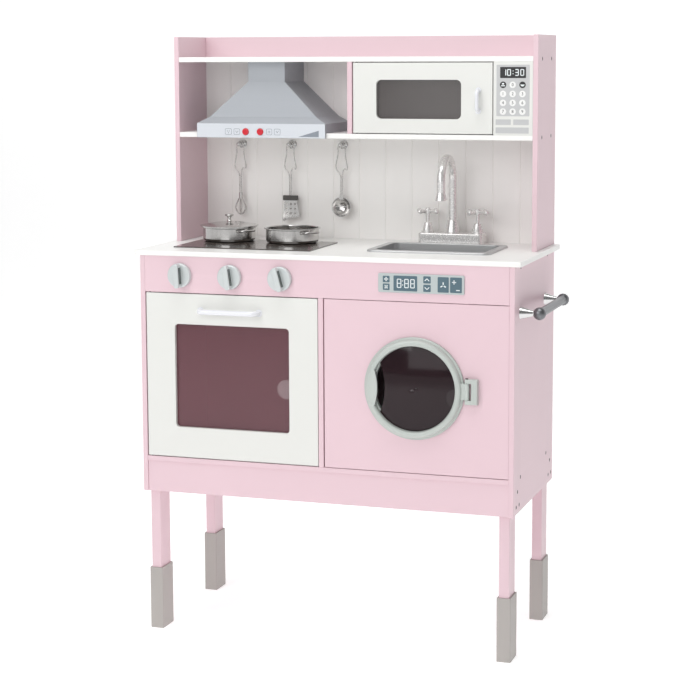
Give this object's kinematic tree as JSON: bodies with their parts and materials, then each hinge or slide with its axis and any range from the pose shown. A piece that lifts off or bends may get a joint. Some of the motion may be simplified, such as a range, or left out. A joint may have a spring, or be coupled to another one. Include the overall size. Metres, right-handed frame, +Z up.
{
  "type": "toy play kitchen",
  "caption": "Free-standing toy kitchen on legs with oven, washing machine, sink, hob, cooker hood, microwave, towel rail, pots and hanging utensils.",
  "frame": {"origin": "bottom centre of the bounding box, on the floor under the feet", "axes": "+Z up; +Y towards the back, so the doors face -Y; +X to the right seen from the front"},
  "size_m": [0.7322, 0.3296, 1.062],
  "materials": {
    "pink_board": "satin pale pink lacquer on fibreboard",
    "white_board": "satin white lacquer on fibreboard",
    "white_groove": "satin white lacquer on grooved board",
    "grey_sleeve": "fine satin moulded plastic",
    "silver_knob": "silver grey moulded plastic",
    "ring_plastic": "satin grey moulded plastic",
    "smoke_pane": "smoked clear plastic",
    "tint_pane": "brown tinted clear plastic",
    "white_handle": "gloss white",
    "display_face": "light grey plate with slate tiles",
    "hob_glass": "gloss black printed plate",
    "sink_silver": "silver painted moulding",
    "tap_silver": "bright silver plated plastic",
    "hood_silver": "satin silver grey lacquer",
    "red_button": "gloss red",
    "steel": "polished stainless steel",
    "hook_chrome": "bright plated",
    "rail_grey": "satin grey tube with bright ball ends",
    "screw_steel": "zinc plated",
    "catch_white": "white moulded plastic"
  },
  "bodies": {
    "kitchen": {"base_left_side": "pink_board", "base_right_side": "pink_board", "base_divider": "pink_board", "base_bottom": "pink_board", "base_back": "white_board", "top_rails": "pink_board", "control_fascia": "pink_board", "plinth": "pink_board", "washer_front": "pink_board", "worktop": "white_board", "leg_front_left": "pink_board", "leg_front_right": "pink_board", "leg_back_left": "pink_board", "leg_back_right": "pink_board", "leg_sleeves": "grey_sleeve", "hob_plate": "hob_glass", "sink_basin": "sink_silver", "tap_block": "tap_silver", "display_plate": "display_face", "washer_hinge": "ring_plastic", "washer_hinge_pin": "screw_steel", "rail_posts": "hook_chrome", "towel_rail": "rail_grey", "upper_left_side": "pink_board", "upper_right_side": "pink_board", "upper_back": "white_groove", "top_board": "pink_board", "shelf_upper": "white_board", "shelf_lower": "white_board", "upper_divider": "pink_board", "microwave_panel": "white_board", "hood_chimney": "hood_silver", "hood_canopy": "hood_silver", "utensil_hooks": "hook_chrome", "panel_screws": "screw_steel", "door_catches": "catch_white"},
    "oven_leaf": {"oven_door": "white_board", "oven_window": "tint_pane", "oven_handle": "white_handle", "oven_pins": "screw_steel"},
    "microwave_leaf": {"microwave_door": "white_board", "microwave_window": "tint_pane", "microwave_handle": "white_handle", "microwave_pins": "screw_steel"},
    "washer_leaf": {"washer_ring": "ring_plastic", "washer_window": "smoke_pane"},
    "knob_left": {"hob_knob_1": "silver_knob"},
    "knob_middle": {"hob_knob_2": "silver_knob"},
    "knob_right": {"hob_knob_3": "silver_knob"},
    "tap_left": {"tap_handle_left": "tap_silver"},
    "tap_right": {"tap_handle_right": "tap_silver"},
    "spout": {"tap_spout": "tap_silver"},
    "button_left": {"hood_button_left": "red_button"},
    "button_right": {"hood_button_right": "red_button"},
    "pan_left": {"pot_left": "steel"},
    "lid": {"pot_lid": "steel"},
    "pan_right": {"pot_right": "steel"},
    "whisk_body": {"whisk": "steel"},
    "turner_body": {"turner": "steel"},
    "ladle_body": {"ladle": "steel"}
  },
  "joints": [
    {"name": "oven_door_hinge", "type": "hinge", "parent": "kitchen", "child": "oven_leaf", "pos_m": [-0.33865, -0.1387, 0.467], "axis": [0, 0, -1], "range_deg": [0, 100]},
    {"name": "microwave_door_hinge", "type": "hinge", "parent": "kitchen", "child": "microwave_leaf", "pos_m": [-0.00615, 0.0243, 0.9525], "axis": [0, 0, -1], "range_deg": [0, 100]},
    {"name": "washer_door_hinge", "type": "hinge", "parent": "kitchen", "child": "washer_leaf", "pos_m": [0.24285, -0.1492, 0.46675], "axis": [0, 0, 1], "range_deg": [0, 95]},
    {"name": "knob_left_turn", "type": "hinge", "parent": "kitchen", "child": "knob_left", "pos_m": [-0.27815, -0.1432, 0.6455], "axis": [0, 1, 0], "continuous": true},
    {"name": "knob_middle_turn", "type": "hinge", "parent": "kitchen", "child": "knob_middle", "pos_m": [-0.18415, -0.1432, 0.6455], "axis": [0, 1, 0], "continuous": true},
    {"name": "knob_right_turn", "type": "hinge", "parent": "kitchen", "child": "knob_right", "pos_m": [-0.09115, -0.1432, 0.6455], "axis": [0, 1, 0], "continuous": true},
    {"name": "tap_left_turn", "type": "hinge", "parent": "kitchen", "child": "tap_left", "pos_m": [0.09885, 0.1178, 0.72], "axis": [0, 0, 1], "continuous": true},
    {"name": "tap_right_turn", "type": "hinge", "parent": "kitchen", "child": "tap_right", "pos_m": [0.19185, 0.1178, 0.72], "axis": [0, 0, 1], "continuous": true},
    {"name": "spout_swivel", "type": "hinge", "parent": "kitchen", "child": "spout", "pos_m": [0.14535, 0.1178, 0.725], "axis": [0, 0, 1], "range_deg": [-60, 60]},
    {"name": "button_left_press", "type": "slide", "parent": "kitchen", "child": "button_left", "axis": [0, 1, 0], "range_m": [0, 0.0015], "stiffness_N_per_m": 300},
    {"name": "button_right_press", "type": "slide", "parent": "kitchen", "child": "button_right", "axis": [0, 1, 0], "range_m": [0, 0.0015], "stiffness_N_per_m": 300},
    {"name": "pan_left_lift", "type": "slide", "parent": "kitchen", "child": "pan_left", "axis": [0, -0.9, 0.4359], "range_m": [0, 0.3]},
    {"name": "lid_lift", "type": "slide", "parent": "pan_left", "child": "lid", "axis": [0, 0, 1], "range_m": [0, 0.06]},
    {"name": "pan_right_lift", "type": "slide", "parent": "kitchen", "child": "pan_right", "axis": [0, -0.9, 0.4359], "range_m": [0, 0.3]},
    {"name": "whisk_swing", "type": "hinge", "parent": "kitchen", "child": "whisk_body", "pos_m": [-0.27315, 0.1358, 0.863], "axis": [0, 1, 0], "range_deg": [-12, 12]},
    {"name": "turner_swing", "type": "hinge", "parent": "kitchen", "child": "turner_body", "pos_m": [-0.17315, 0.1358, 0.863], "axis": [0, 1, 0], "range_deg": [-12, 12]},
    {"name": "ladle_swing", "type": "hinge", "parent": "kitchen", "child": "ladle_body", "pos_m": [-0.07215, 0.1358, 0.863], "axis": [0, 1, 0], "range_deg": [-12, 12]}
  ]
}
